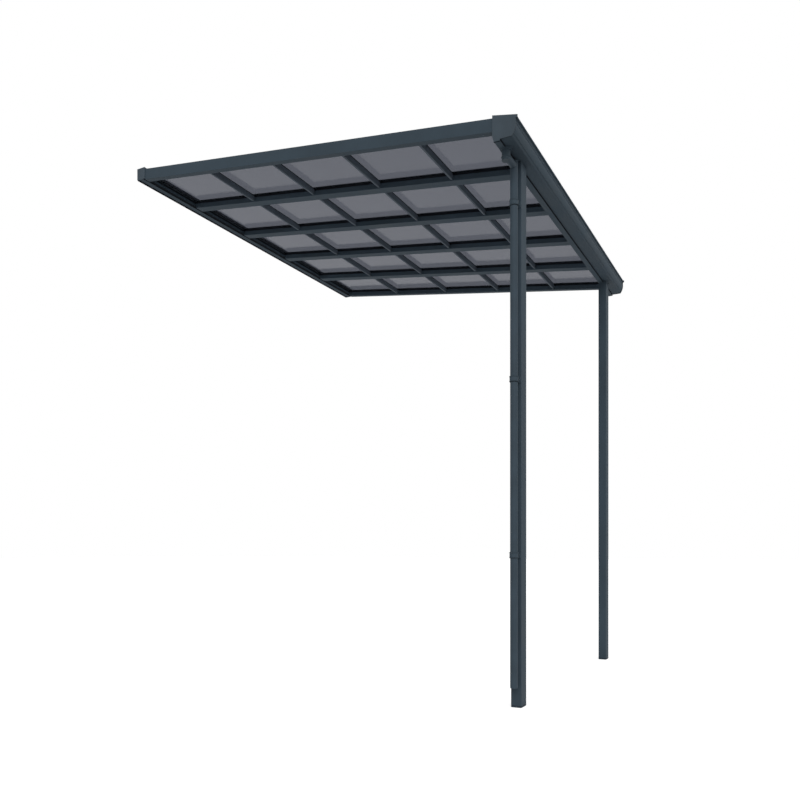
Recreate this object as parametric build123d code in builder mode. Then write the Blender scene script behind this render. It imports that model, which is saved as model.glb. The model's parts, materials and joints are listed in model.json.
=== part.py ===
from build123d import *
import os
from math import cos, radians, sin, sqrt, tan

os.makedirs("parts", exist_ok=True)

# A lean-to patio cover. The wall is the plane Y = 0 and the front is -Y.
# The origin is on the back of the wall profile, halfway along it and halfway up.
# Overall sizes in millimetres
roof_width = 2362.0
roof_projection = 2393.0
wall_top_height = 3060.0
roof_slope = 7.7

# Wall profile
wall_profile_depth = 60.0
wall_profile_height = 65.0
wall_profile_wall = 2.5
rafter_setdown = 8.5
wall_groove_height = 14.0
wall_groove_depth = 8.0
wall_groove_drop = 37.0
wall_step_height = 6.0
wall_step_depth = 17.0

# Caps that close the ends of the wall profile and of the gutter
end_cap_thickness = 4.0
end_cap_rim = 2.0
cap_overlap = 7.0
cap_back_rise = 12.5
cap_lip_rise = 5.0
cap_chamfer_depth = 7.0
cap_chamfer_height = 27.0

# Rafters, measured square to the slope
bay_count = 5
rafter_width = 61.0
rafter_depth = 60.0
side_rafter_width = 35.0
side_rafter_depth = 62.0
rafter_wall = 2.2
ledge_drop = 20.0
web_width = 8.0
upstand_width = 3.5
edge_round = 1.0
neck_height = 12.0
neck_inset = 4.0
end_bay_trim = 16.0

# Roof panels and the cover strips that hold them down
panel_thickness = 6.0
panel_edge_gap = 2.0
panel_overhang = 22.0
cover_thickness = 5.0
cover_bevel = 1.5

# Crossbars under the panels
crossbar_count = 4
first_crossbar = 540.0
last_crossbar_gap = 397.0
crossbar_width = 12.0
crossbar_depth = 35.0
crossbar_wall = 1.8
crossbar_neck_width = 7.0

# Gutter section
gutter_drop = 111.0
gutter_floor_depth = 86.0
gutter_front_depth = 104.0
gutter_belly_height = 60.0
gutter_front_height = 92.0
gutter_lip = 8.0
gutter_lip_height = 8.0
gutter_sheet = 2.5
gutter_floor_sheet = 4.0
gutter_rail_width = 30.0
gutter_rail_drop = 9.0
rib_radius = 2.0
lower_rib_height = 21.0
upper_rib_height = 65.0

# Posts
post_width = 77.0
post_depth = 53.0
post_wall = 2.0
post_round = 3.0
post_inset = 235.0
foot_thickness = 8.0
spigot_length = 60.0
spigot_clearance = 0.4
spigot_wall = 3.0

# Rainwater pipe
pipe_diameter = 37.0
pipe_wall = 1.8
pipe_standoff = 12.0
pipe_bottom = 100.0
clip_count = 3
clip_height = 28.0
clip_band = 2.5
clip_arm_width = 16.0
clip_plate_width = 48.0
clip_plate_thickness = 4.0
clip_top_gap = 143.0
clip_bottom_gap = 641.0
outlet_inset = 94.0
outlet_flange = 6.0
outlet_flange_thickness = 2.5
outlet_diameter = 40.0
outlet_length = 50.0
elbow_run_diameter = 33.0
elbow_run_drop = 26.0
elbow_top_gap = 3.0
elbow_length = 60.0
seat_clearance = 0.3
elbow_spigot = 30.0

slope = radians(roof_slope)
rafter_face = -wall_profile_depth
gutter_back = -(roof_projection - gutter_front_depth - gutter_lip)
post_y = gutter_back - post_depth / 2
half_width = roof_width / 2
outlet_x = -half_width + outlet_inset
pipe_radius = pipe_diameter / 2
frame_end = half_width - end_cap_thickness
wall_top = wall_profile_height / 2
floor_level = wall_top - wall_top_height


# Height of the top line of the rafters at the distance y from the wall
def roof_top(y):
    return wall_top - rafter_setdown + (y - rafter_face) * tan(slope)


# Plane square to the slope at the wall, with its height axis up and its normal down the slope
def slope_plane(x, y=0.0):
    return Plane(origin=(x, y, roof_top(y)), x_dir=(1, 0, 0), z_dir=(0, -cos(slope), -sin(slope)))


gutter_underside = roof_top(gutter_back) - gutter_drop
slope_length = roof_projection / cos(slope) + wall_profile_depth
wall_cut = Plane.XZ.offset(-rafter_face)
gutter_cut = Plane.XZ.offset(-gutter_back)


# Rectangle between two opposite corners, taken out of the sketch that is being drawn
def take_out(left, bottom, right, top):
    with Locations((left, bottom)):
        Rectangle(right - left, top - bottom, align=(Align.MIN, Align.MIN), mode=Mode.SUBTRACT)


def finish(piece, name):
    piece.part.label = name
    export_step(piece.part, f"parts/{name}.step")
    print(name, len(piece.part.solids()), round(piece.part.volume))


# Wall profile: a thin extrusion with a groove along its front and a step under its front edge
wall_section = Plane(origin=(frame_end, 0, -wall_top), x_dir=(0, -1, 0), z_dir=(-1, 0, 0))
groove_bottom = wall_profile_height - wall_groove_drop - wall_groove_height / 2
groove_top = groove_bottom + wall_groove_height
groove_back = wall_profile_depth - wall_groove_depth
step_back = wall_profile_depth - wall_step_depth
inner_front = wall_profile_depth - wall_profile_wall
inner_top = wall_profile_height - wall_profile_wall
inner_floor = wall_step_height + wall_profile_wall
with BuildPart() as wall_profile:
    with BuildSketch(wall_section):
        Rectangle(wall_profile_depth, wall_profile_height, align=(Align.MIN, Align.MIN))
        take_out(step_back, 0, wall_profile_depth, wall_step_height)
        take_out(groove_back, groove_bottom, wall_profile_depth, groove_top)
        take_out(wall_profile_wall, wall_profile_wall, step_back - wall_profile_wall, inner_top)
        take_out(wall_profile_wall, inner_floor, groove_back - wall_profile_wall, inner_top)
        take_out(wall_profile_wall, inner_floor, inner_front, groove_bottom - wall_profile_wall)
        take_out(wall_profile_wall, groove_top + wall_profile_wall, inner_front, inner_top)
    extrude(amount=2 * frame_end)
finish(wall_profile, "wall_profile")

for side, name in ((-1, "left"), (1, "right")):
    with BuildPart() as wall_cap:
        with BuildSketch(Plane.YZ.offset(side * frame_end)):
            Rectangle(
                wall_profile_depth + end_cap_rim / 2,
                wall_profile_height + end_cap_rim,
                align=(Align.MAX, Align.CENTER),
            )
        extrude(amount=side * end_cap_thickness)
    finish(wall_cap, f"wall_profile_cap_{name}")

# Side rafters: a hollow box, a neck on it that carries the panel, and an upstand outside the panel
side_center = frame_end - side_rafter_width / 2
side_body = side_rafter_depth - ledge_drop - neck_height
neck_floor = -ledge_drop - neck_height
for side, name in ((-1, "left"), (1, "right")):
    inner_wall = side_rafter_width / 2 - rafter_wall
    with BuildPart() as side_rafter:
        with BuildSketch(slope_plane(side * side_center)):
            with Locations((0, -side_rafter_depth)):
                Rectangle(side_rafter_width, side_body, align=(Align.CENTER, Align.MIN))
            with Locations((side * neck_inset / 2, neck_floor)):
                Rectangle(side_rafter_width - neck_inset, neck_height, align=(Align.CENTER, Align.MIN))
            with Locations((side * (side_rafter_width - upstand_width) / 2, -ledge_drop)):
                Rectangle(upstand_width, ledge_drop, align=(Align.CENTER, Align.MIN))
            take_out(-inner_wall, -side_rafter_depth + rafter_wall, inner_wall, neck_floor - rafter_wall)
        extrude(amount=slope_length)
        split(bisect_by=wall_cut, keep=Keep.TOP)
        split(bisect_by=gutter_cut, keep=Keep.BOTTOM)
    finish(side_rafter, f"side_rafter_{name}")

# Inner rafters: a hollow box, a narrower neck that carries the panels, and a web that parts them
bay_pitch = (2 * frame_end + 2 * end_bay_trim) / bay_count
rafter_places = [-frame_end - end_bay_trim + bay_pitch * n for n in range(1, bay_count)]
body_inside = rafter_width / 2 - rafter_wall
neck_half = rafter_width / 2 - neck_inset
neck_inside = neck_half - rafter_wall
for n, x in enumerate(rafter_places, start=1):
    with BuildPart() as rafter:
        with BuildSketch(slope_plane(x)):
            with Locations((0, -rafter_depth)):
                RectangleRounded(
                    rafter_width, rafter_depth + neck_floor, edge_round, align=(Align.CENTER, Align.MIN)
                )
            with Locations((0, neck_floor)):
                Rectangle(2 * neck_half, neck_height, align=(Align.CENTER, Align.MIN))
            with Locations((0, -ledge_drop)):
                Rectangle(web_width, panel_thickness, align=(Align.CENTER, Align.MIN))
            take_out(-body_inside, -rafter_depth + rafter_wall, body_inside, neck_floor - rafter_wall)
            take_out(-neck_inside, neck_floor - rafter_wall, neck_inside, -ledge_drop - rafter_wall)
        extrude(amount=slope_length)
        split(bisect_by=wall_cut, keep=Keep.TOP)
        split(bisect_by=gutter_cut, keep=Keep.BOTTOM)
    finish(rafter, f"rafter_{n}")

# Roof panels: one sheet for each bay, which ends over the gutter
panel_floor = -ledge_drop
panel_end = Plane.XZ.offset(-gutter_back + panel_overhang)
bay_edges = [-frame_end + upstand_width]
for x in rafter_places:
    bay_edges += [x - web_width / 2, x + web_width / 2]
bay_edges.append(frame_end - upstand_width)
for n in range(bay_count):
    left, right = bay_edges[2 * n] + panel_edge_gap, bay_edges[2 * n + 1] - panel_edge_gap
    with BuildPart() as panel:
        with BuildSketch(slope_plane((left + right) / 2)):
            with Locations((0, panel_floor)):
                Rectangle(right - left, panel_thickness, align=(Align.CENTER, Align.MIN))
        extrude(amount=slope_length)
        split(bisect_by=wall_cut, keep=Keep.TOP)
        split(bisect_by=panel_end, keep=Keep.BOTTOM)
    finish(panel, f"roof_panel_{n + 1}")

# Cover strips over the joints between the panels
cover_floor = panel_floor + panel_thickness
side_cover_width = side_rafter_width - upstand_width
cover_places = [(-frame_end + upstand_width + side_cover_width / 2, side_cover_width)]
cover_places += [(x, rafter_width) for x in rafter_places]
cover_places.append((frame_end - upstand_width - side_cover_width / 2, side_cover_width))
for n, (x, width) in enumerate(cover_places, start=1):
    with BuildPart() as cover_strip:
        with BuildSketch(slope_plane(x)):
            with BuildLine():
                Polyline(
                    (-width / 2, cover_floor),
                    (width / 2, cover_floor),
                    (width / 2, cover_floor + cover_thickness - cover_bevel),
                    (width / 2 - cover_bevel, cover_floor + cover_thickness),
                    (-width / 2 + cover_bevel, cover_floor + cover_thickness),
                    (-width / 2, cover_floor + cover_thickness - cover_bevel),
                    close=True,
                )
            make_face()
        extrude(amount=slope_length)
        split(bisect_by=wall_cut, keep=Keep.TOP)
        split(bisect_by=panel_end, keep=Keep.BOTTOM)
    finish(cover_strip, f"cover_strip_{n}")

# Crossbars: a row of short bars across the bays, each a hollow foot on a neck under the panel
crossbar_spans = []
support_edges = [-frame_end + side_rafter_width]
for x in rafter_places:
    support_edges += [x - rafter_width / 2, x + rafter_width / 2]
support_edges.append(frame_end - side_rafter_width)
for n in range(bay_count):
    crossbar_spans.append((support_edges[2 * n], support_edges[2 * n + 1]))
foot_inside = crossbar_width / 2 - crossbar_wall
crossbar_floor = -ledge_drop - crossbar_depth
crossbar_run = -gutter_back - first_crossbar - last_crossbar_gap
crossbar_pitch = crossbar_run / max(crossbar_count - 1, 1)
for row in range(crossbar_count):
    y = -(first_crossbar + crossbar_pitch * row)
    with BuildPart() as crossbars:
        for left, right in crossbar_spans:
            bar_plane = Plane(
                origin=(left, y, roof_top(y)), x_dir=(0, cos(slope), sin(slope)), z_dir=(1, 0, 0)
            )
            with BuildSketch(bar_plane):
                with Locations((0, crossbar_floor)):
                    Rectangle(crossbar_width, crossbar_depth - neck_height, align=(Align.CENTER, Align.MIN))
                with Locations((0, neck_floor)):
                    Rectangle(crossbar_neck_width, neck_height, align=(Align.CENTER, Align.MIN))
                take_out(-foot_inside, crossbar_floor + crossbar_wall, foot_inside, neck_floor - crossbar_wall)
            extrude(amount=right - left)
    finish(crossbars, f"crossbar_row_{row + 1}")


# Plane across the gutter: distance in front of its back wall, and height above its underside
def gutter_plane(x):
    return Plane(origin=(x, gutter_back, gutter_underside), x_dir=(0, -1, 0), z_dir=(-1, 0, 0))


# Gutter: an open trough with a belly, two ribs along its front and a rail below its floor at the back
gutter_back_height = gutter_drop - ledge_drop / cos(slope) - panel_edge_gap
trough_floor = gutter_rail_drop + gutter_floor_sheet
belly_run = gutter_front_depth - gutter_floor_depth
belly_rise = gutter_belly_height - gutter_rail_drop
belly_radius = (belly_rise**2 + belly_run**2) / (2 * belly_run)
lower_rib_reach = sqrt(belly_radius**2 - (gutter_belly_height - lower_rib_height) ** 2)
lower_rib_place = gutter_front_depth - belly_radius + lower_rib_reach
with BuildPart() as gutter:
    with BuildSketch(gutter_plane(frame_end)):
        with BuildLine():
            Polyline(
                (0, 0),
                (gutter_rail_width, 0),
                (gutter_rail_width, gutter_rail_drop),
                (gutter_floor_depth, gutter_rail_drop),
            )
            TangentArc(
                (gutter_front_depth, gutter_belly_height),
                (gutter_floor_depth, gutter_rail_drop),
                tangent=(0, -1),
            )
            Polyline(
                (gutter_front_depth, gutter_belly_height),
                (gutter_front_depth, gutter_front_height - gutter_lip_height),
                (gutter_front_depth + gutter_lip, gutter_front_height - gutter_lip_height),
                (gutter_front_depth + gutter_lip, gutter_front_height),
                (gutter_front_depth - gutter_sheet, gutter_front_height),
                (gutter_front_depth - gutter_sheet, gutter_belly_height),
            )
            TangentArc(
                (gutter_front_depth - gutter_sheet, gutter_belly_height),
                (gutter_floor_depth - gutter_sheet, trough_floor),
                tangent=(0, -1),
            )
            Polyline(
                (gutter_floor_depth - gutter_sheet, trough_floor),
                (gutter_rail_width - gutter_sheet, trough_floor),
                (gutter_rail_width - gutter_sheet, gutter_floor_sheet),
                (gutter_sheet, gutter_floor_sheet),
                (gutter_sheet, gutter_back_height),
                (0, gutter_back_height),
                (0, 0),
            )
        make_face()
        with Locations((gutter_front_depth, upper_rib_height)):
            Circle(rib_radius)
        with Locations((lower_rib_place, lower_rib_height)):
            Circle(rib_radius)
    extrude(amount=2 * frame_end)
    with BuildSketch(Plane.XY.offset(gutter_underside)):
        with Locations((outlet_x, post_y)):
            Circle(outlet_diameter / 2 - pipe_wall)
    extrude(amount=trough_floor, mode=Mode.SUBTRACT)
finish(gutter, "gutter")

# End caps of the gutter: flat plates a little larger than the section, with a tab over the rail's end
cap_front = gutter_front_depth + end_cap_rim
cap_lip_front = gutter_front_depth + gutter_lip + end_cap_rim
cap_lip_height = gutter_front_height - gutter_lip_height
cap_bottom = gutter_rail_drop - end_cap_rim
for side, name in ((-1, "left"), (1, "right")):
    with BuildPart() as gutter_cap:
        with BuildSketch(gutter_plane(side * frame_end)):
            with BuildLine():
                belly = Line((cap_front, gutter_belly_height), (cap_front, cap_lip_height))
                Polyline(
                    belly @ 1,
                    (cap_lip_front, cap_lip_height),
                    (cap_lip_front, gutter_front_height + cap_lip_rise),
                    (-cap_overlap, gutter_drop + cap_back_rise),
                    (-cap_overlap, cap_chamfer_height),
                    (cap_chamfer_depth - cap_overlap, 0),
                    (gutter_rail_width, 0),
                    (gutter_rail_width, cap_bottom),
                    (gutter_floor_depth + end_cap_rim, cap_bottom),
                )
                TangentArc(belly @ 0, (gutter_floor_depth + end_cap_rim, cap_bottom), tangent=(0, -1))
            make_face()
        extrude(amount=-side * end_cap_thickness)
    finish(gutter_cap, f"gutter_cap_{name}")

# Posts: rounded hollow sections between the foot and the gutter
post_bottom = floor_level + foot_thickness
post_places = {
    "left": -half_width + post_inset + post_width / 2,
    "right": half_width - post_inset - post_width / 2,
}
post_bore_width = post_width - 2 * post_wall
post_bore_depth = post_depth - 2 * post_wall
bore_round = post_round - post_wall
spigot_width = post_bore_width - 2 * spigot_clearance
spigot_depth = post_bore_depth - 2 * spigot_clearance
for name, x in post_places.items():
    with BuildPart() as post:
        with BuildSketch(Plane.XY.offset(post_bottom)):
            with Locations((x, post_y)):
                RectangleRounded(post_width, post_depth, post_round)
                RectangleRounded(post_bore_width, post_bore_depth, bore_round, mode=Mode.SUBTRACT)
        extrude(amount=gutter_underside - post_bottom)
    finish(post, f"post_{name}")

    # Foot: a sole under the post and a spigot inside it
    with BuildPart() as post_foot:
        with BuildSketch(Plane.XY.offset(floor_level)):
            with Locations((x, post_y)):
                RectangleRounded(post_width, post_depth, post_round)
        extrude(amount=foot_thickness)
        with BuildSketch(Plane.XY.offset(post_bottom)):
            with Locations((x, post_y)):
                Rectangle(spigot_width, spigot_depth)
                Rectangle(spigot_width - 2 * spigot_wall, spigot_depth - 2 * spigot_wall, mode=Mode.SUBTRACT)
        extrude(amount=spigot_length)
    finish(post_foot, f"post_foot_{name}")

    # Head: a sleeve inside the top of the post under a plate, and a packer up to the floor of the gutter
    with BuildPart() as post_head:
        with BuildSketch(Plane.XY.offset(gutter_underside)):
            with Locations((x, post_y)):
                Rectangle(spigot_width, spigot_depth)
        extrude(amount=-spigot_wall)
        with BuildSketch(Plane.XY.offset(gutter_underside - spigot_wall)):
            with Locations((x, post_y)):
                Rectangle(spigot_width, spigot_depth)
                Rectangle(spigot_width - 2 * spigot_wall, spigot_depth - 2 * spigot_wall, mode=Mode.SUBTRACT)
        extrude(amount=-(spigot_length - spigot_wall))
        with BuildSketch(Plane.XY.offset(gutter_underside)):
            with Locations((x, gutter_back - gutter_rail_width)):
                Rectangle(post_width, post_depth - gutter_rail_width, align=(Align.CENTER, Align.MAX))
        extrude(amount=gutter_rail_drop)
    finish(post_head, f"post_head_{name}")

# Rainwater pipe beside the left post, in line with the middle of the post's side
post_face = post_places["left"] - post_width / 2
pipe_x = post_face - pipe_standoff - pipe_radius
elbow_end = gutter_underside - elbow_length
pipe_end = floor_level + pipe_bottom
with BuildPart() as downpipe:
    with BuildSketch(Plane.XY.offset(pipe_end)):
        with Locations((pipe_x, post_y)):
            Circle(pipe_radius)
            Circle(pipe_radius - pipe_wall, mode=Mode.SUBTRACT)
    extrude(amount=elbow_end - pipe_end)
finish(downpipe, "downpipe")


# Upright plug of the given radius, or with mode a bore, between two heights
def upright(x, radius, top, bottom, mode=Mode.ADD):
    with Locations((x, post_y, bottom)):
        Cylinder(radius, top - bottom, align=(Align.CENTER, Align.CENTER, Align.MIN), mode=mode)


# Elbow: a short outlet under the gutter, a level run to the pipe, and a spigot down into it
elbow_top = gutter_underside - elbow_top_gap
flange_bottom = gutter_underside - outlet_flange_thickness
flange_radius = outlet_diameter / 2 + outlet_flange
outlet_bore = outlet_diameter / 2 - pipe_wall
outlet_end = gutter_underside - outlet_length
spigot_end = elbow_end - elbow_spigot
spigot_radius = pipe_radius - pipe_wall - seat_clearance
run_start = Plane(origin=(outlet_x, post_y, gutter_underside - elbow_run_drop), z_dir=(1, 0, 0))
with BuildPart() as pipe_elbow:
    upright(outlet_x, outlet_diameter / 2, gutter_underside, outlet_end)
    upright(outlet_x, flange_radius, gutter_underside + gutter_rail_drop, flange_bottom)
    with Locations((outlet_x, gutter_back - gutter_rail_width, gutter_underside)):
        Box(
            2 * flange_radius, 2 * flange_radius, gutter_rail_drop,
            align=(Align.CENTER, Align.MIN, Align.MIN), mode=Mode.SUBTRACT,
        )
    upright(pipe_x, pipe_radius, elbow_top, elbow_end)
    upright(pipe_x, spigot_radius, elbow_end, spigot_end)
    with BuildSketch(run_start):
        Circle(elbow_run_diameter / 2)
    extrude(amount=pipe_x - outlet_x)
    with BuildSketch(run_start):
        Circle(elbow_run_diameter / 2 - pipe_wall)
    extrude(amount=pipe_x - outlet_x, mode=Mode.SUBTRACT)
    upright(outlet_x, outlet_bore, gutter_underside + gutter_rail_drop, outlet_end + pipe_wall, Mode.SUBTRACT)
    upright(pipe_x, spigot_radius - pipe_wall, elbow_top - pipe_wall, spigot_end, Mode.SUBTRACT)
finish(pipe_elbow, "pipe_elbow")

# Clips that hold the downpipe off the post: a band round the pipe, an arm and a plate on the post
clip_pitch = (elbow_end - pipe_end - clip_top_gap - clip_bottom_gap) / max(clip_count - 1, 1)
for n in range(clip_count):
    with BuildPart() as pipe_clip:
        with BuildSketch(Plane.XY.offset(elbow_end - clip_top_gap - clip_pitch * n - clip_height / 2)):
            with Locations((pipe_x, post_y)):
                Circle(pipe_radius + seat_clearance + clip_band)
                Rectangle(post_face - pipe_x, clip_arm_width, align=(Align.MIN, Align.CENTER))
                Circle(pipe_radius + seat_clearance, mode=Mode.SUBTRACT)
            with Locations((post_face, post_y)):
                Rectangle(clip_plate_thickness, clip_plate_width, align=(Align.MAX, Align.CENTER))
        extrude(amount=clip_height)
    finish(pipe_clip, f"pipe_clip_{n + 1}")
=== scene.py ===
import json
from math import cos, pi, radians, sin, tan

import bmesh
import bpy
import numpy as np
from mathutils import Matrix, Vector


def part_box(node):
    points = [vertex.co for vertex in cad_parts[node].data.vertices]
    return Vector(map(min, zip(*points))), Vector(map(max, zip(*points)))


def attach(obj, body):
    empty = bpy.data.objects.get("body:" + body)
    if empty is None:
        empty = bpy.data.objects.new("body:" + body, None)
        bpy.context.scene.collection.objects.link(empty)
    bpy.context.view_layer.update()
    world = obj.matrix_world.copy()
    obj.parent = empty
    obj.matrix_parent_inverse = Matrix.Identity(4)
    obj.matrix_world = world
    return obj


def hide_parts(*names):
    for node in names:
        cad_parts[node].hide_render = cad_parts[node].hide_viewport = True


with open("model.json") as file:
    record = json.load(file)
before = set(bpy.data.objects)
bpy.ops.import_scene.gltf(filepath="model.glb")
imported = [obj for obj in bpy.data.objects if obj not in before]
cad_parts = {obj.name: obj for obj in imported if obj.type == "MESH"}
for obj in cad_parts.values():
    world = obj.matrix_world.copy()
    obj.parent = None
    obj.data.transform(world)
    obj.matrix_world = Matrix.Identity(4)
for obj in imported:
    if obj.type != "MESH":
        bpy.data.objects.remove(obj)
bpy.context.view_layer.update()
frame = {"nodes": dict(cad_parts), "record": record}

mm = 0.001


# Lowest and highest corner of a node's box, in millimetres to the thousandth
def corners(node):
    return [np.round(np.array(corner) / mm, 3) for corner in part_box(node)]


# Sizes in millimetres, and the slope, as the solids have them. The places come from the frame's boxes
roof = {
    "slope": radians(7.7), "setdown": 8.5, "ledge": 20.0, "panel": 6.0, "cover": 5.0, "neckInset": 4.0,
    "gutterDrop": 111.0, "bays": 5,
}
wallLow, wallHigh = corners("wall_profile")
frameEnd, wallDepth, wallHalfHeight = wallHigh[0], -wallLow[1], wallHigh[2]
rafterBoxes = [corners(f"rafter_{n}") for n in range(1, roof["bays"])]
rafterPlaces = [(low[0] + high[0]) / 2 for low, high in rafterBoxes]
rafterWidth = rafterBoxes[0][1][0] - rafterBoxes[0][0][0]
bayPitch = rafterPlaces[1] - rafterPlaces[0]
sideWidth = corners("side_rafter_left")[1][0] + frameEnd
gutterBack = corners("gutter")[1][1]
panelEnd = corners("roof_panel_1")[0][1]
soles = corners("post_foot_left")[0][2]
postBoxes = [corners("post_left"), corners("post_right")]
pipeLow, pipeHigh = corners("downpipe")
pipeX, pipeY = (pipeLow[:2] + pipeHigh[:2]) / 2
pipeRadius = (pipeHigh[0] - pipeLow[0]) / 2
clipBoxes = [corners(f"pipe_clip_{n}") for n in (1, 2, 3)]

cosSlope, sinSlope, tanSlope = cos(roof["slope"]), sin(roof["slope"]), tan(roof["slope"])
# heights square to the slope, over the rafters' top line
panelUnder = -roof["ledge"]
panelTop = panelUnder + roof["panel"]
coverTop = panelTop + roof["cover"]


# Height of the rafters' top line above the origin, at the distance y from the wall
def roofTop(y):
    return wallHalfHeight - roof["setdown"] + (y + wallDepth) * tanSlope


gutterUnder = roofTop(gutterBack) - roof["gutterDrop"]


def linear(hexColor):
    # sRGB hex to linear light: c / 12.92 near black, else the 2.4 power of (c + 0.055) / 1.055
    c = np.array([int(hexColor[i:i + 2], 16) for i in (1, 3, 5)]) / 255
    lin = np.where(c <= 0.04045, c / 12.92, ((c + 0.055) / 1.055) ** 2.4)
    return (*lin.tolist(), 1.0)


def addNode(tree, kind, settings=None, links=None):
    # settings go to sockets or properties by name, stops to a ramp, and links give a socket its source
    node = tree.nodes.new(kind)
    for key, value in (settings or {}).items():
        if key == "stops":
            points = node.color_ramp.elements
            while len(points) < len(value):
                points.new(1.0)
            for point, (place, color) in zip(points, value):
                point.position, point.color = place, linear(color)
        elif isinstance(key, int) or key in node.inputs:
            node.inputs[key].default_value = value
        else:
            setattr(node, key, value)
    for key, source in (links or {}).items():
        tree.links.new(source, node.inputs[key])
    return node


def startMaterial(name, settings):
    material = bpy.data.materials.new(name)
    material.use_nodes = True
    tree = material.node_tree
    shader = tree.nodes["Principled BSDF"]
    for key, value in settings.items():
        shader.inputs[key].default_value = value
    return material, tree, shader, addNode(tree, "ShaderNodeTexCoord").outputs["Object"]


# The roughness goes from low to high while a noise goes over the part of its range called span
def roughenBy(noise, tree, shader, low, high, span=(0.3, 0.7)):
    settings = {"From Min": span[0], "From Max": span[1], "To Min": low, "To Max": high}
    rough = addNode(tree, "ShaderNodeMapRange", settings, {"Value": noise})
    tree.links.new(rough.outputs["Result"], shader.inputs["Roughness"])


# Powder coat on aluminium, anthracite and satin: the orange peel and fine grit of a baked coat, a painted
# highlight that makes the corners paler, and faint dusty clouds. The real grit is 0.1 mm, drawn as 1.2 mm to
# show
coat = {
    "specular": 0.18, "cloud": 260.0, "cloudStops": (0.34, 0.68), "smoother": 0.06, "rougher": 0.08,
    "corner": 1.3, "cornerLitShare": 0.55, "cornerLitFrom": 0.99, "cornerLitTo": 0.8,
    "grit": 1.2, "gritDepth": 0.15, "gritBump": 0.16, "peel": 9.0, "peelDepth": 0.4, "peelBump": 0.1,
}


def makeCoat(name, dark, light, cornerLit, roughness):
    material, tree, shader, coords = startMaterial(name, {"Specular IOR Level": coat["specular"]})
    cloud = addNode(tree, "ShaderNodeTexNoise", {"Scale": 1000 / coat["cloud"], "Detail": 5.0},
                    {"Vector": coords}).outputs["Fac"]
    tone = addNode(tree, "ShaderNodeValToRGB", {"stops": [*zip(coat["cloudStops"], (dark, light))]},
                   {"Fac": cloud})
    # a rounded normal that differs from the flat one marks the corners
    corner = addNode(tree, "ShaderNodeBevel", {"samples": 4, "Radius": coat["corner"] * mm}).outputs["Normal"]
    flat = addNode(tree, "ShaderNodeNewGeometry").outputs["Normal"]
    alike = addNode(tree, "ShaderNodeVectorMath", {"operation": "DOT_PRODUCT"}, {0: corner, 1: flat})
    # painted highlight: where the rounded normal parts from the flat one, the corners are mixed toward the
    # paler colour
    cornerLight = addNode(tree, "ShaderNodeMapRange",
                  {"From Min": coat["cornerLitFrom"], "From Max": coat["cornerLitTo"], "To Max": coat["cornerLitShare"]},
                  {"Value": alike.outputs["Value"]})
    mixed = addNode(tree, "ShaderNodeMix", {"data_type": "RGBA", 7: linear(cornerLit)},
                    {0: cornerLight.outputs["Result"], 6: tone.outputs["Color"]})
    tree.links.new(mixed.outputs[2], shader.inputs["Base Color"])
    roughenBy(cloud, tree, shader, roughness - coat["smoother"], roughness + coat["rougher"])
    grit = addNode(tree, "ShaderNodeTexNoise", {"Scale": 1000 / coat["grit"], "Detail": 1.0},
                   {"Vector": coords})
    peel = addNode(tree, "ShaderNodeTexNoise", {"Scale": 1000 / coat["peel"]}, {"Vector": coords})
    gritBump = addNode(tree, "ShaderNodeBump",
                       {"Strength": coat["gritBump"], "Distance": coat["gritDepth"] * mm},
                       {"Height": grit.outputs["Fac"], "Normal": corner})
    peelBump = addNode(tree, "ShaderNodeBump",
                       {"Strength": coat["peelBump"], "Distance": coat["peelDepth"] * mm},
                       {"Height": peel.outputs["Fac"], "Normal": gritBump.outputs["Normal"]})
    tree.links.new(peelBump.outputs["Normal"], shader.inputs["Normal"])
    return material


# Smoke-tinted polycarbonate sheet, extruded: daylight comes through it grey and even, the faces are glossy
# and mirror the rafters, with faint ripples along the slope, and painted shade darkens it near the rafters
# that hold it.
# Both faces of a thin sheet together bend and mirror little, so ior is matched down from the solid's 1.58
panelLook = {
    "dark": "#5D6068", "light": "#676A73", "through": 0.88, "roughness": 0.12, "ior": 1.11, "specular": 0.1,
    "rafterShade": (24.0, 60.0), "rafterShadeShare": 0.75, "cloudsPerMetre": 2.2, "cloudShare": 0.3,
    "ripple": 22.0, "stretch": 25.0, "rippleDepth": 0.5, "rippleBump": 0.08,
}


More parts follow.
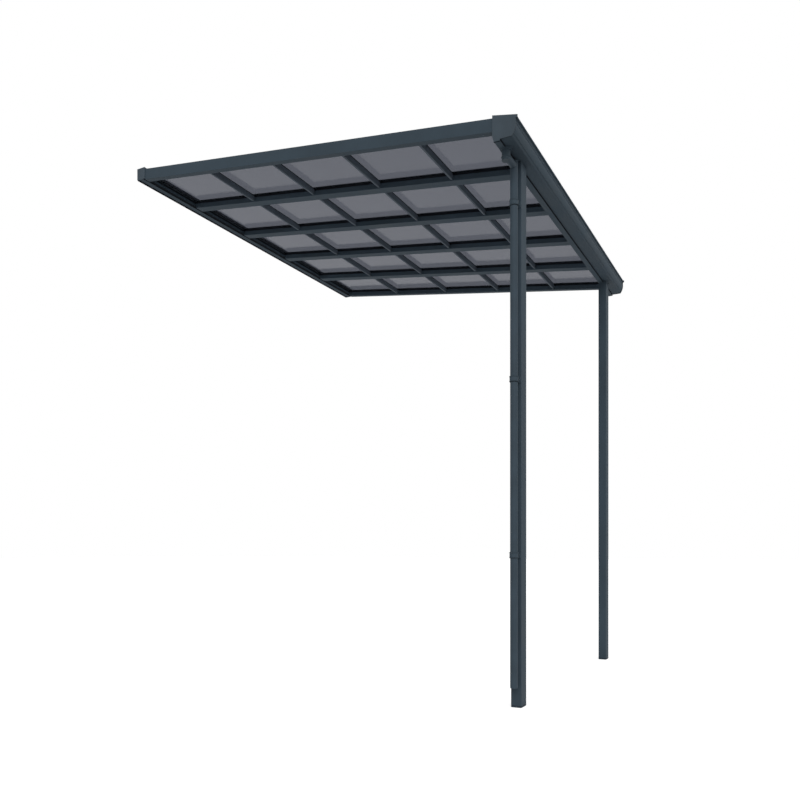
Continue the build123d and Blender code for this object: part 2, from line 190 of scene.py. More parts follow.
def makePanel():
    material, tree, shader, coords = startMaterial("smokedPolycarbonate", {
        "Roughness": panelLook["roughness"], "IOR": panelLook["ior"],
        "Transmission Weight": panelLook["through"], "Specular IOR Level": panelLook["specular"]})
    # distance to the nearest rafter line: a triangle wave of X with the bays' pitch
    x = addNode(tree, "ShaderNodeSeparateXYZ", None, {"Vector": coords}).outputs["X"]
    shifted = addNode(tree, "ShaderNodeMath", {"operation": "SUBTRACT", 1: rafterPlaces[0] * mm}, {0: x})
    wave = addNode(tree, "ShaderNodeMath", {"operation": "PINGPONG", 1: bayPitch / 2 * mm},
                   {0: shifted.outputs[0]})
    # painted shade: the panel darkens toward each rafter, from 60 mm off its middle line to 24 mm
    near, far = panelLook["rafterShade"]
    band = addNode(tree, "ShaderNodeMapRange",
                   {"interpolation_type": "SMOOTHSTEP", "From Min": near * mm, "From Max": far * mm,
                    "To Max": panelLook["rafterShadeShare"]}, {"Value": wave.outputs[0]})
    cloud = addNode(tree, "ShaderNodeTexNoise", {"Scale": panelLook["cloudsPerMetre"], "Detail": 4.0},
                    {"Vector": coords})
    blend = addNode(tree, "ShaderNodeMath", {"operation": "MULTIPLY_ADD", 1: panelLook["cloudShare"]},
                    {0: cloud.outputs["Fac"], 2: band.outputs["Result"]})
    stops = [(0.0, panelLook["dark"]), (1.0, panelLook["light"])]
    tone = addNode(tree, "ShaderNodeValToRGB", {"stops": stops}, {"Fac": blend.outputs[0]})
    tree.links.new(tone.outputs["Color"], shader.inputs["Base Color"])
    # the ripples are drawn out along the slope
    drawn = addNode(tree, "ShaderNodeMapping", {"Scale": (1.0, 1 / panelLook["stretch"], 1.0)},
                    {"Vector": coords})
    ripple = addNode(tree, "ShaderNodeTexNoise", {"Scale": 1000 / panelLook["ripple"]},
                     {"Vector": drawn.outputs["Vector"]})
    bump = addNode(tree, "ShaderNodeBump",
                   {"Strength": panelLook["rippleBump"], "Distance": panelLook["rippleDepth"] * mm},
                   {"Height": ripple.outputs["Fac"]})
    tree.links.new(bump.outputs["Normal"], shader.inputs["Normal"])
    return material


# Moulded or extruded plastic and rubber: the spark-eroded grain of the tool, with faint clouds. The real
# grain is about 0.1 mm, drawn as 1 to 2 mm to show
plastic = {
    "ior": 1.5, "cloudsPerMetre": 9.0, "cloudStops": (0.35, 0.7), "smoother": 0.05, "rougher": 0.07,
    "grainDepth": 0.2,
}


def makePlastic(name, dark, light, roughness, grain, specular=0.18, grainBump=0.2):
    settings = {"IOR": plastic["ior"], "Specular IOR Level": specular}
    material, tree, shader, coords = startMaterial(name, settings)
    cloud = addNode(tree, "ShaderNodeTexNoise", {"Scale": plastic["cloudsPerMetre"], "Detail": 5.0},
                    {"Vector": coords}).outputs["Fac"]
    tone = addNode(tree, "ShaderNodeValToRGB", {"stops": [*zip(plastic["cloudStops"], (dark, light))]},
                   {"Fac": cloud})
    tree.links.new(tone.outputs["Color"], shader.inputs["Base Color"])
    roughenBy(cloud, tree, shader, roughness - plastic["smoother"], roughness + plastic["rougher"])
    pores = addNode(tree, "ShaderNodeTexNoise", {"Scale": 1000 / grain, "Detail": 1.0}, {"Vector": coords})
    bump = addNode(tree, "ShaderNodeBump", {"Strength": grainBump, "Distance": plastic["grainDepth"] * mm},
                   {"Height": pores.outputs["Fac"]})
    tree.links.new(bump.outputs["Normal"], shader.inputs["Normal"])
    return material


# Stainless steel screws with heads blackened to match: a dark satin metal, with fine marks drawn as 2 mm
steel = {"metallic": 0.8, "marks": 2.0, "stops": [(0.3, "#3A434B"), (0.7, "#4C565F")], "rough": (0.24, 0.44)}


def makeSteel():
    material, tree, shader, coords = startMaterial("blackenedScrew", {"Metallic": steel["metallic"]})
    marks = addNode(tree, "ShaderNodeTexNoise", {"Scale": 1000 / steel["marks"]},
                    {"Vector": coords}).outputs["Fac"]
    tone = addNode(tree, "ShaderNodeValToRGB", {"stops": steel["stops"]}, {"Fac": marks})
    tree.links.new(tone.outputs["Color"], shader.inputs["Base Color"])
    roughenBy(marks, tree, shader, *steel["rough"], (0.0, 1.0))
    return material


coatedAluminium = makeCoat("powderCoatAnthracite", "#313D46", "#394650", "#5E6B75", roughness=0.72)
# painted light: the crossbars' coat is a shade paler and greyer than the rest, standing in for more light on
# them under the panels
litBarCoat = makeCoat("powderCoatLitOnCrossbars", "#454E58", "#505A64", "#66717B", roughness=0.72)
# the coat on the castings is a shade darker than the rest, and a little rougher, which makes it flatter
castCoat = makeCoat("powderCoatOnCasting", "#2E3941", "#36424B", "#5A6770", roughness=0.74)
smokedPanel = makePanel()
# the caps are even and matt, the pipe has a soft sheen, and the rubber is black and dull
capPlastic = makePlastic("mouldedCapPlastic", "#3A444C", "#424D56", roughness=0.7, grain=1.4)
pipePlastic = makePlastic("extrudedPipePlastic", "#323E47", "#3A4751", roughness=0.62, grain=2.0)
sealRubber = makePlastic("sealRubber", "#171A1F", "#1F2329", roughness=0.88, grain=1.0, specular=0.04,
                         grainBump=0.3)
screwSteel = makeSteel()

bySlot = {
    "coated_aluminium": coatedAluminium, "tinted_panel": smokedPanel, "cap_plastic": capPlastic,
    "pipe_plastic": pipePlastic, "cast_fitting": castCoat,
}
slotOf = {row["node"]: row["material_slot"] for row in frame["record"]["subparts"]}
for name, node in frame["nodes"].items():
    node.data.materials.clear()
    node.data.materials.append(litBarCoat if name.startswith("crossbar_row") else bySlot[slotOf[name]])
print("materials on", len(frame["nodes"]), "nodes")


sharpFrom = radians(32)


# A piece from point arrays and faces, doubles merged, faces turned outwards, sharp only at real corners
def buildPiece(name, parts, material):
    verts, faces, start = [], [], 0
    for points, (quads, ends) in parts:
        verts.append(points.reshape(-1, 3))
        faces += (quads + start).tolist() + [(end + start).tolist() for end in ends]
        start += len(verts[-1])
    mesh = bpy.data.meshes.new(name)
    mesh.from_pydata(np.concatenate(verts).tolist(), [], faces)
    work = bmesh.new()
    work.from_mesh(mesh)
    bmesh.ops.remove_doubles(work, verts=work.verts, dist=1e-6)
    bmesh.ops.recalc_face_normals(work, faces=work.faces)
    work.to_mesh(mesh)
    work.free()
    mesh.shade_smooth()
    mesh.set_sharp_from_angle(angle=sharpFrom)
    mesh.materials.append(material)
    piece = bpy.data.objects.new(name, mesh)
    bpy.context.scene.collection.objects.link(piece)
    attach(piece, "root")
    return piece


# Each corner p becomes the curve (1-t)^2 before + 2t(1-t) p + t^2 after, which starts radius before p
def softLoop(points, radius, steps=4):
    p = np.array(points, float)
    r = np.broadcast_to(np.asarray(radius, float), (len(p),))
    back, ahead = np.roll(p, 1, 0) - p, np.roll(p, -1, 0) - p
    lengthBack, lengthAhead = np.linalg.norm(back, axis=1), np.linalg.norm(ahead, axis=1)
    # under half an edge, so that two roundings never meet
    reach = np.minimum(r, 0.49 * np.minimum(lengthBack, lengthAhead))
    a = (p + back / lengthBack[:, None] * reach[:, None])[:, None]
    b = (p + ahead / lengthAhead[:, None] * reach[:, None])[:, None]
    t = np.linspace(0, 1, steps)[None, :, None]
    return ((1 - t) ** 2 * a + 2 * t * (1 - t) * p[:, None] + t ** 2 * b).reshape(-1, 2)


def ringFaces(rings, count, ends=True):
    # quads between ring i and ring i + 1, and one face over each end
    i, k = np.meshgrid(np.arange(rings - 1), np.arange(count), indexing="ij")
    here, beside = i * count + k, i * count + (k + 1) % count
    quads = np.stack([here, beside, beside + count, here + count], -1).reshape(-1, 4)
    return quads, [np.arange(count)[::-1], np.arange(count) + (rings - 1) * count] if ends else []


# point(k, c) = origin + u_k * across + v_k * up + s * along, with s where that line meets the cut plane c
def carried(loop, origin, across, up, along, cuts):
    base = np.array(origin) + loop[:, :1] * np.array(across) + loop[:, 1:] * np.array(up)
    along = np.array(along, float)
    rings = []
    for point, normal in cuts:
        s = ((np.array(point) - base) @ np.array(normal)) / (along @ np.array(normal))
        rings.append(base + s[:, None] * along)
    return np.array(rings) * mm, ringFaces(len(cuts), len(loop))


# point(a, k) = center + z_k * axis + r_k * (cos a * side + sin a * other): a profile turned round an axis
def turned(profile, center, axis, segments=20, closed=False):
    axis = np.array(axis, float) / np.linalg.norm(axis)
    side = np.cross(axis, (0.31, 0.87, 0.38))  # any direction that no axis here shares
    side /= np.linalg.norm(side)
    other = np.cross(axis, side)
    angle = np.arange(segments) / segments * 2 * pi
    r, z = np.array(profile, float).T
    if closed:
        r, z = np.append(r, r[0]), np.append(z, z[0])
    ring = np.cos(angle)[None, :, None] * side + np.sin(angle)[None, :, None] * other
    points = np.array(center) + z[:, None, None] * axis + r[:, None, None] * ring
    return points * mm, ringFaces(len(r), segments, not closed)


sideways, toWall, fromWall, upward = (1, 0, 0), (0, 1, 0), (0, -1, 0), (0, 0, 1)
downSlope = (0, -cosSlope, -sinSlope)
upSlope = (0, cosSlope, sinSlope)
upNormal = (0, -sinSlope, cosSlope)
wallCut = ((0, -wallDepth, 0), toWall)
gutterCut = ((0, gutterBack, 0), toWall)
panelCut = ((0, panelEnd, 0), toWall)


def onSlope(x, along=0.0, height=0.0):
    # a point on the rafters' top line at x, so far down the slope and so high square to it
    top = np.array((x, -wallDepth, roofTop(-wallDepth)))
    return top + along * np.array(downSlope) + height * np.array(upNormal)


def spanCuts(left, right):
    return [((left, 0, 0), sideways), ((right, 0, 0), sideways)]


# Black rubber seals between the necks and the panels, their black also painted shade for the slot under the
# panels: a rounded lip that widens to the top
seal = {
    "height": 11.5, "proud": 2.6, "footShare": 0.75, "bite": 0.6, "round": 1.4, "gap": 0.2,
    "barHeight": 4.0, "barProud": 1.2, "barNeck": 7.0,
}
# both edges of each bay, with the way into the bay
bayEdges = [(-frameEnd + sideWidth, 1)]
for x in rafterPlaces:
    bayEdges += [(x - rafterWidth / 2, -1), (x + rafterWidth / 2, 1)]
bayEdges.append((frameEnd - sideWidth, -1))
bays = [(bayEdges[2 * n][0], bayEdges[2 * n + 1][0]) for n in range(roof["bays"])]


def lipLoop(side, proud, height):
    low, high = panelUnder - height, panelUnder - seal["gap"]
    return softLoop([(-side * seal["bite"], low), (side * proud * seal["footShare"], low),
                     (side * proud, high), (-side * seal["bite"], high)], seal["round"])


parts = []
for x, side in bayEdges:
    parts.append(carried(lipLoop(side, seal["proud"], seal["height"]), onSlope(x - side * roof["neckInset"]),
                         sideways, upNormal, downSlope, [wallCut, gutterCut]))
buildPiece("rafterSealsAndShade", parts, sealRubber)

# The same seals, black as rubber and as painted shade under the panels, run along both sides of each
# crossbar's neck, bay by bay
bars = {"first": 540.0, "pitch": 448.0, "rows": 4}
parts = []
for row in range(bars["rows"]):
    y = -(bars["first"] + bars["pitch"] * row)
    for side in (-1, 1):
        loop = lipLoop(side, seal["barProud"], seal["barHeight"])
        loop[:, 0] += side * seal["barNeck"] / 2
        for span in bays:
            parts.append(carried(loop, (0, y, roofTop(y)), upSlope, upNormal, sideways, spanCuts(*span)))
buildPiece("crossbarSealsAndShade", parts, sealRubber)

# Rubber lips under the edges of the cover strips, on top of the panels
coverLip = {"reach": 1.4, "topReach": 1.0, "bite": 0.6, "sink": 0.3, "edge": 1.6, "rise": 2.6, "round": 0.8}
parts = []
for x, side in bayEdges:
    low = panelTop - coverLip["sink"]
    loop = softLoop([(-side * coverLip["bite"], low), (side * coverLip["reach"], low),
                     (side * coverLip["topReach"], panelTop + coverLip["edge"]),
                     (-side * coverLip["bite"], panelTop + coverLip["rise"])], coverLip["round"])
    parts.append(carried(loop, onSlope(x), sideways, upNormal, downSlope, [wallCut, panelCut]))
buildPiece("coverLips", parts, sealRubber)

# The wall profile holds a seal in its groove, black as rubber and as painted shade, a strip of painted shade
# under its stepped edge and a bead over the panels, and black sealant closes the joint under its back edge,
# its black painted shade where the wall shades it. Outlines are (depth from the wall, height over its foot)
wallSeal = {
    "groove": [(51.5, 21.0), (58.6, 21.0), (57.4, 28.0), (58.6, 35.0), (51.5, 35.0)],
    "step": [(42.6, 0.6), (44.0, 0.6), (45.2, 4.4), (59.2, 4.6), (59.2, 6.4), (42.6, 6.4)],
    "bead": [(59.5, 42.0), (66.5, 41.2), (65.5, 44.5), (60.6, 50.5), (59.5, 50.5)],
    "grooveRound": 1.5, "stepRound": 0.6, "beadRound": 1.4, "endGap": 0.5,
    "sealantShadeWidth": 13.0, "sealantShadeHeight": 3.2, "sealantShadeLap": 0.4, "sealantShadeGap": 0.2,
}
# the black sealant, painted shade under the back edge, is hollow below: v = height * ((u / width)^2 - 1)
width, lap = wallSeal["sealantShadeWidth"], wallSeal["sealantShadeLap"]
u = np.linspace(0.0, width, 9)
hollow = np.column_stack([u, wallSeal["sealantShadeHeight"] * ((u / width) ** 2 - 1)])
sealantShade = np.concatenate([hollow, [(width, lap), (0.0, lap)]]) + (wallSeal["sealantShadeGap"], 0.0)
wallSpan = [(wallSeal["endGap"] - frameEnd, frameEnd - wallSeal["endGap"])]
wallFoot = (0, 0, -wallHalfHeight)
runs = [(sealantShade, wallSpan), (softLoop(wallSeal["groove"], wallSeal["grooveRound"]), wallSpan),
        (softLoop(wallSeal["step"], wallSeal["stepRound"]), wallSpan),
        (softLoop(wallSeal["bead"], wallSeal["beadRound"]), bays)]
parts = [carried(loop, wallFoot, fromWall, upward, sideways, spanCuts(*span))
         for loop, places in runs for span in places]
buildPiece("wallSealsAndShade", parts, sealRubber)
print("seals done")

# The gutter: an extrusion whose belly is an arc, with two round ribs on its front and soft corners
gutter = {
    "floorDepth": 86.0, "frontDepth": 104.0, "belly": 60.0, "front": 92.0, "lip": 8.0, "lipHeight": 8.0,
    "sheet": 2.5, "floorSheet": 4.0, "railWidth": 30.0, "railDrop": 9.0, "underPanels": 2.0,
    "rib": 2.0, "lowRib": 21.0, "highRib": 65.0, "arcSteps": 14,
    "corner": 1.1, "tight": 0.5, "arcReach": 3.0, "railRound": 0.6, "lipRound": 0.8, "lipTopRound": 1.7,
}


def bellyArc(top, bottom, steps):
    # circle through both ends that is upright at its top: radius = (rise^2 + run^2) / (2 run)
    run, rise = top[0] - bottom[0], top[1] - bottom[1]
    radius = (rise ** 2 + run ** 2) / (2 * run)
    a = np.linspace(0, np.arcsin(rise / radius), steps)
    return np.stack([top[0] - radius + radius * np.cos(a), top[1] - radius * np.sin(a)], -1), radius


sheet, rail, railDrop = gutter["sheet"], gutter["railWidth"], gutter["railDrop"]
front, belly, rim, steps = gutter["frontDepth"], gutter["belly"], gutter["front"], gutter["arcSteps"]
corner, tight, arcReach = gutter["corner"], gutter["tight"], gutter["arcReach"]
lipFront, lipUnder = front + gutter["lip"], rim - gutter["lipHeight"]
troughFloor = railDrop + gutter["floorSheet"]
backHeight = roof["gutterDrop"] - roof["ledge"] / cosSlope - gutter["underPanels"]
outerArc, outerRadius = bellyArc((front, belly), (gutter["floorDepth"], railDrop), steps)
innerArc, _ = bellyArc((front - sheet, belly), (gutter["floorDepth"] - sheet, troughFloor), steps)
# the section's corners, each with how far its rounding reaches
outline = [((0, 0), corner), ((rail, 0), corner), ((rail, railDrop), gutter["railRound"])]
outline += [(tuple(p), corner if n == 0 else arcReach) for n, p in enumerate(outerArc[::-1])]
outline += [((front, lipUnder), gutter["lipRound"]), ((lipFront, lipUnder), corner),
            ((lipFront, rim), gutter["lipTopRound"]), ((front - sheet, rim), corner)]
outline += [(tuple(p), arcReach if n < steps - 1 else tight) for n, p in enumerate(innerArc)]
outline += [((rail - sheet, troughFloor), corner), ((rail - sheet, gutter["floorSheet"]), tight),
            ((sheet, gutter["floorSheet"]), tight), ((sheet, backHeight), corner), ((0, backHeight), corner)]
gutterLoop = softLoop([p for p, _ in outline], [r for _, r in outline])


def alongGutter(loop):
    # loop is (depth from the gutter's back, height over its underside)
    start = (0, gutterBack, gutterUnder)
    return carried(loop, start, fromWall, upward, sideways, spanCuts(-frameEnd, frameEnd))


def roundLoop(center, radius, count=16):
    # point(a) = center + radius * (cos a, sin a)
    a = np.arange(count) / count * 2 * pi
    return np.stack([center[0] + radius * np.cos(a), center[1] + radius * np.sin(a)], -1)


shell = buildPiece("gutterShell", [alongGutter(gutterLoop)], coatedAluminium)
lowRibPlace = front - outerRadius + (outerRadius ** 2 - (belly - gutter["lowRib"]) ** 2) ** 0.5
ribs = [alongGutter(roundLoop((lowRibPlace, gutter["lowRib"]), gutter["rib"])),
        alongGutter(roundLoop((front, gutter["highRib"]), gutter["rib"]))]
buildPiece("gutterRibs", ribs, coatedAluminium)

# A black rubber strip fills the step beside the gutter's rail, along its whole length: painted shade,
# standing in for the deep shadow in that step
strip = {"bite": 0.5, "low": 0.9, "footOut": 1.2, "footHeight": 1.2, "topOut": 2.4, "lap": 0.4, "round": 0.6}
stripTop = railDrop + strip["lap"]
stripLoop = softLoop([(rail - strip["bite"], strip["low"]), (rail + strip["footOut"], strip["footHeight"]),
                      (rail + strip["topOut"], stripTop), (rail - strip["bite"], stripTop)], strip["round"])
buildPiece("railShadeStrip", [alongGutter(stripLoop)], sealRubber)

# The outlet hole goes through the trough's floor over the elbow
outlet = {"x": -1087.0, "radius": 20.0, "length": 50.0, "holeRadius": 18.2, "holeSpan": (-5.0, 30.0)}
holeProfile = [(outlet["holeRadius"], z) for z in outlet["holeSpan"]]
outletTop = np.array((outlet["x"], pipeY, gutterUnder))
cutter = buildPiece("outletCutter", [turned(holeProfile, outletTop, upward, segments=40)], coatedAluminium)
hole = shell.modifiers.new("outletHole", "BOOLEAN")
hole.object, hole.operation, hole.solver = cutter, "DIFFERENCE", "EXACT"
cut = bpy.data.meshes.new_from_object(shell.evaluated_get(bpy.context.evaluated_depsgraph_get()))
shell.modifiers.clear()
shell.data = cut
cut.name = "gutterShell"
cut.set_sharp_from_angle(angle=sharpFrom)
bpy.data.objects.remove(cutter)
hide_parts("gutter")
print("gutter done", len(cut.polygons), "faces")

# Drip trims on the lower ends of the panels: a thin channel round each sheet's end
trim = {"leg": 15.0, "thick": 1.3, "play": 0.15, "drip": 4.0, "endGap": 3.6, "round": 0.5}
slopeEnd = (-panelEnd - wallDepth + roof["ledge"] * sinSlope) / cosSlope
out, inside = slopeEnd + trim["thick"], slopeEnd + trim["play"]
under, top = panelUnder - trim["thick"], panelTop + trim["thick"]
innerUnder, innerTop = panelUnder - trim["play"], panelTop + trim["play"]
legEnd, dripEnd = out - trim["leg"], under - trim["drip"]
trimLoop = softLoop([(legEnd, top), (out, top), (out, dripEnd), (out - trim["thick"], dripEnd),
                     (out - trim["thick"], under), (legEnd, under), (legEnd, innerUnder),
                     (inside, innerUnder), (inside, innerTop), (legEnd, innerTop)], trim["round"], steps=3)
parts = [carried(trimLoop, onSlope(0), downSlope, upNormal, sideways,
                 spanCuts(left + trim["endGap"], right - trim["endGap"])) for left, right in bays]
buildPiece("panelTrims", parts, coatedAluminium)


# Pan head: r and z along the dome, z = h * sqrt(1 - (r / R)^2) flattened, with a drive recess in its top
def screwHead(radius, height):
    r = np.array([1.0, 1.0, 0.95, 0.84, 0.66, 0.46, 0.36, 0.31, 0.3]) * radius
    z = np.array([-0.4, 0.2, 0.52, 0.8, 0.96, 1.0, 0.97, 0.8, 0.3]) * height
    return np.stack([r, z], 1)


# Screws down each cover strip on rubber washers, under the rafters' ends, and into the posts' feet and heads.
# Heads are (radius, height), the washer's profile is (r, z)
screws = {
    "cover": (4.2, 2.6), "small": (3.4, 2.0), "perStrip": 8, "stripSpan": (110, 2150), "washerTop": 0.9,
    "rafterEnds": (35.0, 2190.0), "innerDeep": 60.0, "sideDeep": 62.0, "postLevels": (35.0, 2600.0),
    "postAside": 18,
}
washer = [(6.0, -0.2), (6.0, 0.5), (5.4, screws["washerTop"]), (3.0, screws["washerTop"])]
coverHead, smallHead = screwHead(*screws["cover"]), screwHead(*screws["small"])
parts, washers = [], []
for n in range(1, roof["bays"] + 2):
    low, high = corners(f"cover_strip_{n}")
    x = (low[0] + high[0]) / 2
    for s in np.linspace(*screws["stripSpan"], screws["perStrip"]):
        washers.append(turned(washer, onSlope(x, s, coverTop), upNormal, segments=24))
        parts.append(turned(coverHead, onSlope(x, s, coverTop + screws["washerTop"]), upNormal))
sidePlace = frameEnd - sideWidth / 2
for x in [-sidePlace, *rafterPlaces, sidePlace]:
    deep = screws["sideDeep"] if abs(x) == sidePlace else screws["innerDeep"]
    for s in screws["rafterEnds"]:
        parts.append(turned(smallHead, onSlope(x, s, -deep), -np.array(upNormal)))
for low, high in postBoxes:
    for z in screws["postLevels"]:
        for aside in (-screws["postAside"], screws["postAside"]):
            x = (low[0] + high[0]) / 2 + aside
            parts.append(turned(smallHead, (x, low[1], soles + z), fromWall))
            parts.append(turned(smallHead, (x, high[1], soles + z), toWall))
buildPiece("roofScrews", parts, screwSteel)
buildPiece("coverWashers", washers, sealRubber)

# Covers over the wall screws, two to a bay, along the front of the wall profile above the panels
screwCover = {"radius": 6.5, "height": 2.4, "level": 24.0, "perBay": 2}
pitch = bayPitch / screwCover["perBay"]
places = (np.arange(screwCover["perBay"] * roof["bays"]) + 0.5) * pitch + rafterPlaces[0] - bayPitch
coverDome = screwHead(screwCover["radius"], screwCover["height"])
parts = [turned(coverDome, (x, -wallDepth, screwCover["level"]), fromWall, segments=28) for x in places]
buildPiece("wallScrewCovers", parts, capPlastic)
print("screws done")

# Downpipe: a smooth extruded tube with its wall, r outside and r - wall inside, turned round its axis
tube = {"wall": 1.8, "round": 0.5, "inRound": 0.4, "endRing": 20, "rings": 12}
r, bore, soft = pipeRadius, pipeRadius - tube["wall"], tube["round"]
bottom, top = pipeLow[2], pipeHigh[2]
levels = np.linspace(top - tube["endRing"], bottom + tube["endRing"], tube["rings"])
tubeProfile = [(r - soft, top), (r, top - soft), *[(r, z) for z in levels], (r, bottom + soft),
               (r - soft, bottom), (bore + tube["inRound"], bottom), (bore, bottom + tube["inRound"]),
               (bore, top)]
tubePart = turned(tubeProfile, (pipeX, pipeY, 0), upward, segments=64, closed=True)
downpipe = buildPiece("downpipeTube", [tubePart], pipePlastic)
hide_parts("downpipe")


# A bead round a pipe, half a wave: r = radius + proud * sin(pi * t), z = width * (t - 1/2), closed just
# inside the wall
def beadRing(radius, proud, width, place, axis, sunk=0.8):
    t = np.linspace(0, 1, 9)
    wave = np.stack([radius + proud * np.sin(pi * t), width * (t - 0.5)], -1)
    ring = np.concatenate([[(radius - sunk, -width / 2)], wave, [(radius - sunk, width / 2)]])
    return turned(ring, place, axis, segments=64, closed=True)


# Beads moulded on the elbow: a collar and a lip on the outlet, and a socket rim where the run starts. They
# are (proud, width), and on the outlet the third value is the height over its lower end
elbow = {
    "collar": (3.3, 9.0, 16.0), "lip": (1.2, 4.0, 2.4), "rim": (1.4, 6.0),
    "runRadius": 16.5, "runDrop": 26.0, "runGap": 2.0,
}
rings = []
for proud, width, up in (elbow["collar"], elbow["lip"]):
    place = outletTop + (0, 0, up - outlet["length"])
    rings.append(beadRing(outlet["radius"], proud, width, place, upward))
runStart = outletTop + (outlet["radius"] + elbow["runGap"], 0, -elbow["runDrop"])
rings.append(beadRing(elbow["runRadius"], *elbow["rim"], runStart, sideways))
buildPiece("elbowBeads", rings, castCoat)

# Each clip's band has a rolled rim above and below, and a rubber liner that shows under it, black as painted
# shade under the band
clip = {
    "band": 21.3, "rimProud": 1.4, "rimWidth": 6.0, "liner": 20.4, "linerIn": 0.3, "linerDrop": 1.2,
    "linerLap": 0.5, "plate": 4.0, "screwAside": 17,
}
rims, liners = [], []
linerIn, linerOut = pipeRadius - clip["linerIn"], clip["liner"]
for low, high in clipBoxes:
    for level in (low[2] + clip["rimWidth"] / 2, high[2] - clip["rimWidth"] / 2):
        rims.append(beadRing(clip["band"], clip["rimProud"], clip["rimWidth"], (pipeX, pipeY, level), upward))
    foot, lap = low[2] - clip["linerDrop"], low[2] + clip["linerLap"]
    liners.append(turned([(linerIn, foot), (linerOut, foot), (linerOut, lap), (linerIn, lap)],
                         (pipeX, pipeY, 0), upward, segments=48, closed=True))
buildPiece("clipRims", rims, castCoat)
buildPiece("clipLinersAndShade", liners, sealRubber)

# A strainer in the trough over the outlet: a flat ring with a low dome of bars and a button on top
strainer = {
    "ring": 24.0, "hole": 17.0, "edge": 1.2, "innerEdge": 1.6, "rise": 12.0, "domeUp": 1.0, "domeOut": 1.0,
    "bars": 8, "bar": 0.9, "button": [(0.01, 2.0), (3.0, 1.6), (3.6, 0.4), (3.0, -0.8), (0.01, -1.0)],
}
flatRing = [(strainer["hole"], 0.0), (strainer["ring"], 0.0), (strainer["ring"], strainer["edge"]),
            (strainer["hole"], strainer["innerEdge"])]
center = outletTop + (0, 0, troughFloor)
domeFoot = center + (0, 0, strainer["domeUp"])
parts = [turned(flatRing, center, upward, segments=40, closed=True)]
# each bar is a round rod along a quarter oval, x = R cos a and z = rise sin a, from the ring to the button
a, around = np.linspace(0.02, pi / 2, 9), np.arange(8) / 8 * 2 * pi
cosA, sinA = np.cos(a)[:, None], np.sin(a)[:, None]
cosAround, sinAround = np.cos(around)[None, :, None], np.sin(around)[None, :, None]
for turn in np.arange(strainer["bars"]) / strainer["bars"] * 2 * pi:
    away, beside = np.array((cos(turn), sin(turn), 0)), np.array((-sin(turn), cos(turn), 0))
    path = (strainer["hole"] + strainer["domeOut"]) * cosA * away + strainer["rise"] * sinA * upward
    steer = cosA * away + sinA * upward
    rod = path[:, None] + strainer["bar"] * (cosAround * steer[:, None] + sinAround * beside)
    parts.append(((rod + domeFoot) * mm, ringFaces(len(a), len(around))))
parts.append(turned(strainer["button"], domeFoot + (0, 0, strainer["rise"]), upward))
buildPiece("outletStrainer", parts, pipePlastic)

# Two screws hold each clip's plate to the post
plateFace = postBoxes[0][0][0] - clip["plate"]
parts = [turned(smallHead, (plateFace, pipeY + aside, (low[2] + high[2]) / 2), (-1, 0, 0))
         for low, high in clipBoxes for aside in (-clip["screwAside"], clip["screwAside"])]
buildPiece("clipScrews", parts, screwSteel)

# A joint line of rubber between each post and its foot, just proud of the post
footJoint = {"proud": 0.5, "half": 0.8, "round": 3.5}
parts = []
for low, high in postBoxes:
    (left, front), (right, back) = low[:2] - footJoint["proud"], high[:2] + footJoint["proud"]
    loop = softLoop([(left, front), (right, front), (right, back), (left, back)], footJoint["round"], steps=6)
    cuts = [((0, 0, low[2] + half), upward) for half in (-footJoint["half"], footJoint["half"])]
    parts.append(carried(loop, (0, 0, 0), sideways, toWall, upward, cuts))
buildPiece("footJoints", parts, sealRubber)


# Black sealant round each end of the gutter, against its cap, its black painted shade round the cap's rim:
# the gutter's own outline moved out a little
def movedOut(loop, by):
    # each point goes out along the mean of its two edges' normals
    edge = np.roll(loop, -1, 0) - loop
    edge /= np.maximum(np.linalg.norm(edge, axis=1), 1e-9)[:, None]
    normal = np.stack([edge[:, 1], -edge[:, 0]], -1)
    mean = normal + np.roll(normal, 1, 0)
    return loop + by * mean / np.maximum(np.linalg.norm(mean, axis=1), 1e-9)[:, None]


# point(ring, k): the outline, the outline moved out twice, the outline again, closed on the first ring
bead = {"proud": 1.9, "width": 3.0, "slant": 0.8}
outer, slanted = movedOut(gutterLoop, bead["proud"]), movedOut(gutterLoop, bead["proud"] - bead["slant"])
parts = []
for left in (-frameEnd, frameEnd - bead["width"]):
    right = left + bead["width"]
    rings = [(gutterLoop, left), (outer, left), (outer, right - bead["slant"]), (slanted, right),
             (gutterLoop, right), (gutterLoop, left)]
    points = [np.column_stack([np.full(len(loop), x), gutterBack - loop[:, 0], gutterUnder + loop[:, 1]])
              for loop, x in rings]
    parts.append((np.array(points) * mm, ringFaces(len(rings), len(gutterLoop), ends=False)))
buildPiece("capSealantShade", parts, sealRubber)
print("pipe and fittings done")


# 1 where the camera, gloss or seeing through meets the surface itself, else 0
def seenDirectly(tree):
    path = addNode(tree, "ShaderNodeLightPath").outputs
    seen = addNode(tree, "ShaderNodeMath", {"operation": "MAXIMUM"},
                   {0: path["Is Camera Ray"], 1: path["Is Glossy Ray"]})
    return addNode(tree, "ShaderNodeMath", {"operation": "MAXIMUM"},
                   {0: seen.outputs["Value"], 1: path["Is Transmission Ray"]}).outputs["Value"]


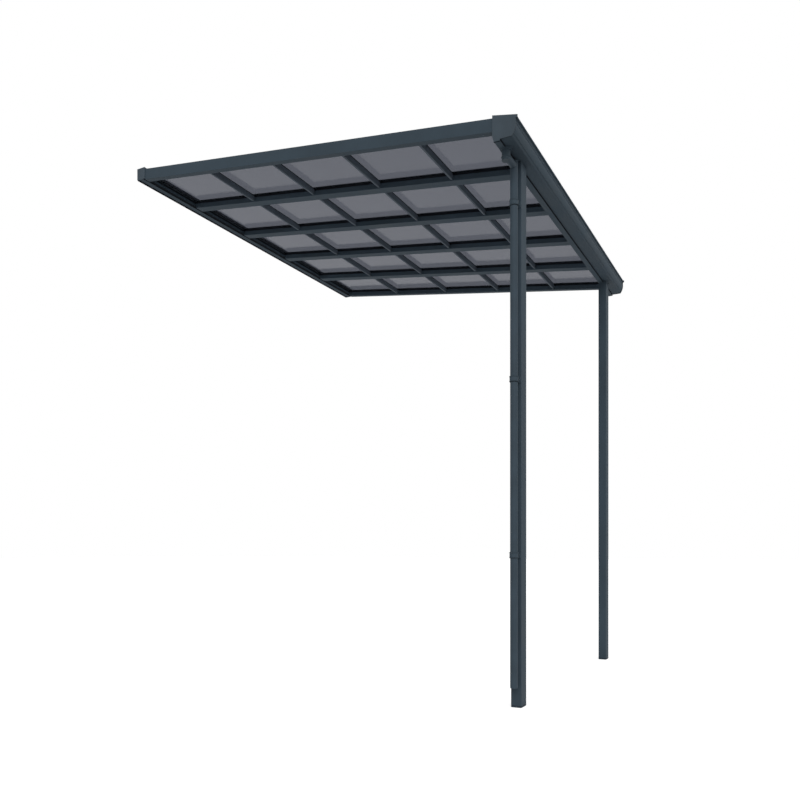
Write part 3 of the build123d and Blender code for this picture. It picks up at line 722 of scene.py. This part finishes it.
# Studio floor: a wide grid in metres, z = just under the feet's soles. Other rays meet a pale grey paint,
# while the camera, gloss and seeing through find it glowing up to white outside the object's shadow
floorLook = {
    "dark": "#B4B4B4", "bounce": "#BCBCBC", "roughness": 0.9, "patchesPerMetre": 0.6, "glow": 0.7,
    "reach": 60.0, "lines": 9, "drop": 0.0005,
}
n, reach = floorLook["lines"], floorLook["reach"]
x, y = np.meshgrid(np.linspace(-1, 1, n) * reach, np.linspace(-1, 1, n) * reach)
verts = np.stack([x.ravel(), y.ravel(), np.full(x.size, soles * mm - floorLook["drop"])], -1)
i, k = np.meshgrid(np.arange(n - 1), np.arange(n - 1))
a = (i * n + k).ravel()
mesh = bpy.data.meshes.new("studioFloor")
mesh.from_pydata(verts.tolist(), [], np.stack([a, a + 1, a + n + 1, a + n], -1).tolist())
material, tree, shader, coords = startMaterial("paleFloorPaint", {"Roughness": floorLook["roughness"]})
patches = addNode(tree, "ShaderNodeTexNoise", {"Scale": floorLook["patchesPerMetre"], "Detail": 3.0},
                  {"Vector": coords})
stops = [(0.0, floorLook["dark"]), (1.0, floorLook["bounce"])]
tone = addNode(tree, "ShaderNodeValToRGB", {"stops": stops}, {"Fac": patches.outputs["Fac"]})
tree.links.new(tone.outputs["Color"], shader.inputs["Base Color"])
glow = addNode(tree, "ShaderNodeEmission", {"Color": linear("#FFFFFF"), "Strength": floorLook["glow"]})
bright = addNode(tree, "ShaderNodeAddShader", None, {0: shader.outputs["BSDF"], 1: glow.outputs["Emission"]})
mix = addNode(tree, "ShaderNodeMixShader", None,
              {0: seenDirectly(tree), 1: shader.outputs["BSDF"], 2: bright.outputs["Shader"]})
tree.links.new(mix.outputs["Shader"], tree.nodes["Material Output"].inputs["Surface"])
mesh.materials.append(material)
floor = bpy.data.objects.new("studioFloor", mesh)
bpy.context.scene.collection.objects.link(floor)

# Soft daylight: an even white sky with one wide sun from the left front. The camera sees the sky full white
light = {"world": 0.68, "sun": 1.4, "sunAngle": 50.0, "sunTurn": (52, 0, -58)}
scene = bpy.context.scene
world = bpy.data.worlds.new("studioSky")
scene.world = world
world.use_nodes = True
tree = world.node_tree
sky = tree.nodes["Background"]
sky.inputs["Strength"].default_value = light["world"]
sky.inputs["Color"].default_value = linear("#FFFFFF")
backdrop = addNode(tree, "ShaderNodeBackground", {"Color": linear("#FFFFFF"), "Strength": 1.0})
mixWorld = addNode(tree, "ShaderNodeMixShader", None,
                   {0: seenDirectly(tree), 1: sky.outputs["Background"], 2: backdrop.outputs["Background"]})
tree.links.new(mixWorld.outputs["Shader"], tree.nodes["World Output"].inputs["Surface"])

sunData = bpy.data.lights.new("softSun", "SUN")
sunData.energy, sunData.angle = light["sun"], radians(light["sunAngle"])
sun = bpy.data.objects.new("softSun", sunData)
sun.rotation_euler = [radians(a) for a in light["sunTurn"]]
scene.collection.objects.link(sun)

# The photograph's view: low, from the left, with the lens shifted up
view = {
    "lens": 33.588, "sensor": 36.0, "shiftY": 0.188, "place": (-4.4102, -3.5118, -2.26406), "heading": 28.01,
    "clipEnd": 300.0,
}
cameraData = bpy.data.cameras.new("photoCamera")
cameraData.lens, cameraData.sensor_width = view["lens"], view["sensor"]
cameraData.shift_y = view["shiftY"]
cameraData.clip_end = view["clipEnd"]
camera = bpy.data.objects.new("photoCamera", cameraData)
camera.location = view["place"]
camera.rotation_euler = (radians(90), 0, radians(view["heading"] - 90))
scene.collection.objects.link(camera)
scene.camera = camera
scene.view_settings.view_transform = "Standard"
print("floor, light and camera done")
